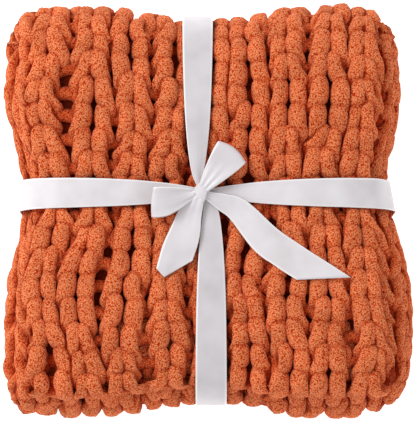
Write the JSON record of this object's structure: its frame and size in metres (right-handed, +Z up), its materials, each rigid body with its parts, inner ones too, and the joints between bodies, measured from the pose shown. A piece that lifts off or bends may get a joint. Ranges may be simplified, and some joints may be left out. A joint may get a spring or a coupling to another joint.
{
  "type": "chunky knit blanket",
  "caption": "Thick chenille knit blanket folded to a square, soft-cornered stack and tied crosswise with a satin ribbon that ends in a bow on top.",
  "frame": {"origin": "centre of the flat underside, under the middle of the stack's bounding box", "axes": "+Z up through the stack, +Y along the knitted columns towards the folded back edge, +X across them to the right"},
  "size_m": [0.4003, 0.402, 0.1728],
  "materials": {
    "chenille_knit": "matte, nubby terracotta chenille yarn",
    "satin_ribbon": "soft white satin weave"
  },
  "bodies": {
    "root": {"blanket": "chenille_knit", "ribbon_across": "satin_ribbon", "ribbon_along": "satin_ribbon", "knot": "satin_ribbon", "bow_loop_right": "satin_ribbon", "bow_loop_left": "satin_ribbon", "tail_left": "satin_ribbon", "tail_right": "satin_ribbon"}
  },
  "joints": []
}
